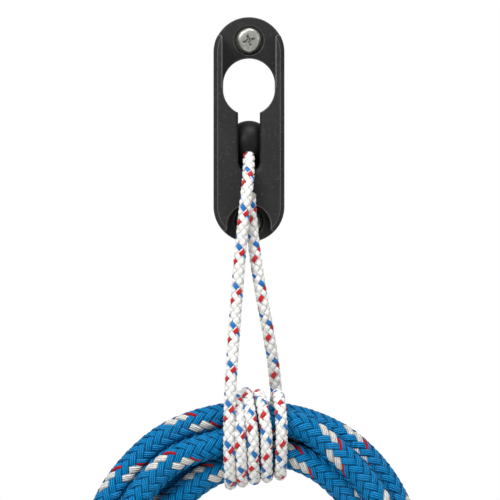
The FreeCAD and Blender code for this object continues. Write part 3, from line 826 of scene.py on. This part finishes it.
def stretchOf(line, start, end):
    # the part of a line between two distances from its first point, in millimetres
    kept, travelled = [], 0.0
    for before, after in zip(line, line[1:]):
        step = (after - before).length
        for distance in (start * mm, end * mm):
            if travelled <= distance < travelled + step:
                kept.append(before.lerp(after, (distance - travelled) / step))
        travelled += step
        if start * mm < travelled < end * mm:
            kept.append(after.copy())
    return kept


def whipping(name, line):
    # close turns of twine round the line near its end
    start = endSizes["whippingInset"]
    path = stretchOf(line, start, start + endSizes["whippingLength"])
    turns = endSizes["whippingLength"] / endSizes["twine"]
    values = {
        "Pitch": endSizes["twine"] * mm,
        "Radius": endSizes["twineRadius"] * mm,
        "Rise": 0.0,
        "Width": endSizes["twine"] * mm,
        "Thickness": endSizes["twine"] * mm,
        "Strands": 1,
        "Hand": 1.0,
        "Rings": int(turns * endSizes["stepsPerTwineTurn"]),
        "Profile Points": 8,
        "Material": waxedTwine,
    }
    mesh = grown(name, braidTree, braidNames, values, line=path)
    return keepMesh(name, mesh, "coil")


def heatSeal(name, line, radius, length, material, body, slant=0.0):
    # a melted, lumpy end on a line's first point; a slant cuts it at an angle
    outward = (line[0] - line[1]).normalized()
    side = Vector((1, 0, 0)) - outward * outward.x
    side.normalize()
    other = outward.cross(side)
    shape = bmesh.new()
    segments = sealShape["segments"]
    waveSize, waves, wavePhase = sealShape["waves"]
    rings = []
    for share, width in sealShape["rings"]:
        ring = []
        for index in range(segments):
            angle = turn * index / segments
            lumps = [
                size * math.sin(number * angle + phase + twist * share)
                for size, number, phase, twist in sealShape["lumps"]
            ]
            reach = radius * width * sum(lumps, 1)
            height = length * share * (1 + waveSize * math.sin(waves * angle + wavePhase))
            height += slant * math.cos(angle) * reach * max(share, 0.0)
            sidestep = side * math.cos(angle) * reach + other * math.sin(angle) * reach
            ring.append(shape.verts.new(line[0] + (sidestep + outward * height) * mm))
        rings.append(ring)
    for lower, upper in zip(rings, rings[1:]):
        for index in range(segments):
            after = (index + 1) % segments
            shape.faces.new((lower[index], lower[after], upper[after], upper[index]))
    shape.faces.new(rings[0][::-1])
    shape.faces.new(rings[-1])
    bmesh.ops.recalc_face_normals(shape, faces=shape.faces)
    mesh = bpy.data.meshes.new(name)
    shape.to_mesh(mesh)
    shape.free()
    mesh.shade_smooth()
    mesh.materials.append(material)
    return keepMesh(name, mesh, body)


def makeThreadTree():
    # a round thread along a path of straight runs, with softened corners
    inputs = [
        ("Geometry", "Geometry", None),
        ("Diameter", "Float", 0.0005),
        ("Corner", "Float", 0.0004),
        ("Material", "Material", None),
    ]
    tree, names = newGroup("sewnThread", "GeometryNodeTree", inputs, [("Geometry", "Geometry")])
    source = put(tree, "NodeGroupInput").outputs
    path = put(tree, "GeometryNodeMeshToCurve", None, {"Mesh": source["Geometry"]}).outputs[0]
    inputs = {"Curve": path, "Radius": source["Corner"], "Count": 4}
    soft = put(tree, "GeometryNodeFilletCurve", {"mode": "POLY"}, inputs).outputs[0]
    ring = circle(tree, 8, maths(tree, "MULTIPLY", source["Diameter"], 0.5))
    inputs = {"Geometry": swept(tree, soft, ring)}
    smooth = put(tree, "GeometryNodeSetShadeSmooth", None, inputs).outputs[0]
    endTree(tree, smooth, source["Material"])
    return tree, names


def atHeight(line, z):
    # where a falling line first comes down to that height
    for upper, lower in zip(line, line[1:]):
        if upper.z >= z >= lower.z:
            return upper.lerp(lower, (upper.z - z) / (upper.z - lower.z))


threadTree, threadNames = makeThreadTree()
seamPath = []
for stitch in range(endSizes["seamStitches"]):
    z = (endSizes["seamTop"] - stitch * endSizes["seamStep"]) * mm
    back, front = atHeight(lanyardRoute[::-1], z), atHeight(lanyardRoute, z)
    middle, way = (back + front) / 2, (front - back).normalized()
    reach = lanyardSizes["diameter"] / 2 * endSizes["seamReach"] * mm
    seamPath.append(middle + way * reach * (1 if stitch % 2 else -1))
seamValues = {
    "Diameter": endSizes["seamThread"] * mm,
    "Corner": endSizes["seamCorner"] * mm,
    "Material": sewingThread,
}
seamMesh = grown("seam_stitches", threadTree, threadNames, seamValues, line=seamPath)
seamStitches = keepMesh("seam_stitches", seamMesh, "lanyard")
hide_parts("sewing_thread")

lanyardEndSeal = heatSeal(
    "lanyard_end_seal", lanyardRoute[::-1], endSizes["lanyardSealRadius"],
    endSizes["endSealLength"], meltedWhite, "lanyard",
    slant=endSizes["endSealSlant"],
)
lanyardTailSeal = heatSeal(
    "lanyard_tail_seal", lanyardRoute, endSizes["lanyardSealRadius"], endSizes["tailSealLength"],
    meltedWhite, "keeper",
)
lineEndPieces = []
for hand, line in (("left", lineRoute), ("right", lineRoute[::-1])):
    twine = whipping("whipping_twine_" + hand, line)
    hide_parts("whipping_" + hand)
    seal = heatSeal(
        "line_seal_" + hand, line, endSizes["lineSealRadius"], endSizes["lineSealLength"],
        meltedBlue, "coil",
    )
    lineEndPieces += [twine, seal]
print("ends and stitches made")

[tuple(point) for point in lanyardRoute]
[tuple(point) for point in lineRoute]
print("cords made")

# The two screws: a turned head and shank, a cross recess and a rolled thread.
screwSizes = {
    # radius and distance from the wall, from the crown to the tip
    "profile": [
        (0, -9.1), (2.4, -9.08), (3.5, -9.02), (4.05, -8.86), (4.45, -8.58), (4.68, -8.2),
        (4.75, -7.75), (4.75, -6.3), (4.66, -6.2), (2.0, -6.2), (2.0, -0.3), (1.85, 0.0),
        (1.85, 12.2), (1.25, 14.2), (0, 15.9),
    ],
    "segments": 56, "height": 35.2, "recessTurn": 18.5, "sharpAngle": 32,
    # the recess's wings: half length and half width at the crown and at their foot
    "wingTop": (2.95, 0.55), "wingFoot": (1.0, 0.34), "recessDepth": 2.3,
    "pit": 1.15, "pitTip": 0.4, "pitSegments": 20,
    "wingAbove": 0.6, "pitAbove": 0.5,  # how far the cutters stand clear of the crown
    "threadRadius": 1.85, "threadPitch": 1.8, "threadLength": 14.6, "threadPoint": 3.4,
    "threadCrest": 0.55, "threadStart": 0.7, "threadSteps": 28,
}


def turnedShape(profile, segments):
    # a closed solid turned about Y from pairs of radius and Y, in millimetres
    shape = bmesh.new()
    rings = []
    for radius, y in profile:
        angles = [turn * index / segments for index in range(segments if radius else 1)]
        places = [(math.cos(a) * radius * mm, y * mm, math.sin(a) * radius * mm) for a in angles]
        rings.append([shape.verts.new(place) for place in places])
    for lower, upper in zip(rings, rings[1:]):
        for index in range(segments):
            after = (index + 1) % segments
            corners = [lower[at % len(lower)] for at in (index, after)]
            corners += [upper[at % len(upper)] for at in (after, index)]
            shape.faces.new(list(dict.fromkeys(corners)))
    bmesh.ops.recalc_face_normals(shape, faces=shape.faces)
    return shape


def asObject(shape, name):
    mesh = bpy.data.meshes.new(name)
    shape.to_mesh(mesh)
    shape.free()
    item = bpy.data.objects.new(name, mesh)
    scene.collection.objects.link(item)
    return item


def wingShape(angle):
    # one slot of the cross, as a closed cutter
    crown = screwSizes["profile"][0][1]
    levels = (
        (crown - screwSizes["wingAbove"], screwSizes["wingTop"]),
        (crown + screwSizes["recessDepth"], screwSizes["wingFoot"]),
    )
    turned = Matrix.Rotation(angle, 3, "Y")
    shape = bmesh.new()
    rings = []
    for y, (length, width) in levels:
        corners = [(length, width), (-length, width), (-length, -width), (length, -width)]
        places = [Vector((x * mm, y * mm, z * mm)) for x, z in corners]
        rings.append([shape.verts.new(turned @ place) for place in places])
    shape.faces.new(rings[0])
    shape.faces.new(rings[1])
    for index in range(4):
        after = (index + 1) % 4
        shape.faces.new((rings[0][index], rings[0][after], rings[1][after], rings[1][index]))
    bmesh.ops.recalc_face_normals(shape, faces=shape.faces)
    return shape


def makeScrewThreadTree():
    # a wedge swept up a helix about Z that closes in on its point, laid down along Y
    inputs = [
        ("Geometry", "Geometry", None),
        ("Radius", "Float", 0.002),
        ("Pitch", "Float", 0.002),
        ("Length", "Float", 0.01),
        ("Point", "Float", 0.003),
        ("Crest", "Float", 0.0005),
        ("Steps", "Int", 24),
        ("Start", "Float", 0.0),
        ("Material", "Material", None),
    ]
    tree, names = newGroup("rolledThread", "GeometryNodeTree", inputs, [("Geometry", "Geometry")])
    source = put(tree, "NodeGroupInput").outputs
    spiral = put(tree, "GeometryNodeCurveSpiral", None, {
        "Resolution": source["Steps"],
        "Rotations": maths(tree, "DIVIDE", source["Length"], source["Pitch"]),
        "Start Radius": source["Radius"],
        "End Radius": source["Radius"],
        "Height": source["Length"],
    }).outputs[0]
    parts = parted(tree, put(tree, "GeometryNodeInputPosition").outputs[0])
    left = maths(tree, "SUBTRACT", source["Length"], parts[2])
    left = maths(tree, "DIVIDE", left, source["Point"])
    narrow = maths(tree, "MAXIMUM", maths(tree, "MINIMUM", left, 1.0), 0.12)
    inwards = [maths(tree, "MULTIPLY", parts[axis], narrow) for axis in (0, 1)]
    inputs = {"Geometry": spiral, "Position": joined(tree, *inwards, parts[2])}
    tapered = put(tree, "GeometryNodeSetPosition", None, inputs).outputs[0]
    turned = faceOut(tree, tapered, joined(tree, parts[0], parts[1]))
    solid = swept(tree, turned, circle(tree, 4, source["Crest"]))
    laid = put(tree, "GeometryNodeTransform", None, {
        "Geometry": solid,
        "Translation": joined(tree, 0.0, source["Start"]),
        "Rotation": (-math.pi / 2, 0, 0),
    }).outputs[0]
    endTree(tree, laid, source["Material"])
    return tree, names


def makeScrewMesh():
    blank = asObject(turnedShape(screwSizes["profile"], screwSizes["segments"]), "screwBlank")
    angles = [-math.radians(screwSizes["recessTurn"] + extra) for extra in (0, 90)]
    cutters = [asObject(wingShape(angle), "wing") for angle in angles]
    crown, pit = screwSizes["profile"][0][1], screwSizes["pit"]
    above, foot = crown - screwSizes["pitAbove"], crown + screwSizes["recessDepth"]
    pitProfile = [(0, above), (pit, above), (pit * 0.5, foot), (0, foot + screwSizes["pitTip"])]
    cutters.append(asObject(turnedShape(pitProfile, screwSizes["pitSegments"]), "pit"))
    for cutter in cutters:
        cut = blank.modifiers.new("cut", "BOOLEAN")
        cut.operation, cut.solver, cut.object = "DIFFERENCE", "EXACT", cutter
    mesh = meshFrom(blank)
    for item in [blank] + cutters:
        bpy.data.objects.remove(item)
    mesh.materials.clear()
    mesh.materials.append(screwSteel)
    mesh.shade_smooth()
    mesh.set_sharp_from_angle(angle=math.radians(screwSizes["sharpAngle"]))
    return mesh


screwTree, screwNames = makeScrewThreadTree()
for hand, sign in (("upper", 1), ("lower", -1)):
    values = {
        "Radius": screwSizes["threadRadius"] * mm,
        "Pitch": screwSizes["threadPitch"] * mm,
        "Length": screwSizes["threadLength"] * mm,
        "Point": screwSizes["threadPoint"] * mm,
        "Crest": screwSizes["threadCrest"] * mm,
        "Steps": screwSizes["threadSteps"],
        "Start": screwSizes["threadStart"] * mm,
        "Material": screwSteel,
    }
    host = bpy.data.meshes.new("threadHost")
    thread = grown("screw_thread_" + hand, screwTree, screwNames, values, mesh=host)
    shank = makeScrewMesh()
    for mesh in (thread, shank):
        mesh.transform(Matrix.Translation((0, 0, sign * screwSizes["height"] * mm)))
    screw = keepMesh("pan_screw_" + hand, shank, "bracket")
    keepMesh("screw_thread_" + hand, thread, "bracket")
    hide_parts(hand + "_screw")
print("screws made")

# CAD nodes that stay
nodeMaterials = {
    "bracket": bracketPlastic, "keeper_ball": ballPlastic, "crimp_ferrule": ferruleMetal,
}
for nodeName, material in nodeMaterials.items():
    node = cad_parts[nodeName]
    for slotIndex in range(len(node.material_slots)):
        node.material_slots[slotIndex].material = material

# floor, light and camera
studio = {
    "distance": 5.0, "middle": (0.4, -46.2), "width": 193.5, "depth": -24.0, "sensor": 36.0,
    "floor": -0.42, "floorHalf": 0.9, "aim": (0, -0.02, -0.06),
    # each lamp's place, size and power
    "lamps": {
        "keyLight": ((-0.7, -1.2, 0.75), 0.6, 15.0),
        "fillLight": ((0.9, -1.3, 0.1), 0.8, 3.0),
        "topLight": ((0.1, -0.35, 1.0), 0.5, 9.0),
    },
    "room": 0.56,  # how strongly the white room lights things; the camera sees it as white
}


def makeFloor():
    mesh = bpy.data.meshes.new("floor")
    half, z = studio["floorHalf"], studio["floor"]
    corners = [(-half, -half, z), (half, -half, z), (half, half, z), (-half, half, z)]
    mesh.from_pydata(corners, [], [(0, 1, 2, 3)])
    floor = bpy.data.objects.new("floor", mesh)
    scene.collection.objects.link(floor)
    paint = newMaterial("floorPaint", Base_Color=rgb(232, 231, 228), Roughness=0.8)[0]
    mesh.materials.append(paint)


def areaLight(name, place, size, power):
    data = bpy.data.lights.new(name, "AREA")
    data.shape, data.size, data.energy = "DISK", size, power
    light = bpy.data.objects.new(name, data)
    light.location = place
    way = Vector(studio["aim"]) - Vector(place)
    light.rotation_euler = way.to_track_quat("-Z", "Y").to_euler()
    scene.collection.objects.link(light)


makeFloor()
for lampName, lamp in studio["lamps"].items():
    areaLight(lampName, *lamp)

world = bpy.data.worlds.new("whiteRoom")
world.use_nodes = True
background = world.node_tree.nodes["Background"]
background.inputs["Color"].default_value = (1, 1, 1, 1)
seen = put(world.node_tree, "ShaderNodeLightPath").outputs["Is Camera Ray"]
strength = maths(world.node_tree, "MULTIPLY_ADD", seen, 1 - studio["room"], studio["room"])
world.node_tree.links.new(strength, background.inputs["Strength"])
scene.world = world
scene.view_settings.view_transform = "Standard"

cameraData = bpy.data.cameras.new("camera")
camera = bpy.data.objects.new("camera", cameraData)
scene.collection.objects.link(camera)
middleX, middleZ = studio["middle"]
camera.location = (middleX * mm, studio["depth"] * mm - studio["distance"], middleZ * mm)
camera.rotation_euler = (math.pi / 2, 0, 0)
cameraData.sensor_width = studio["sensor"]
cameraData.lens = studio["sensor"] * studio["distance"] / (studio["width"] * mm)
scene.camera = camera
print("studio made")
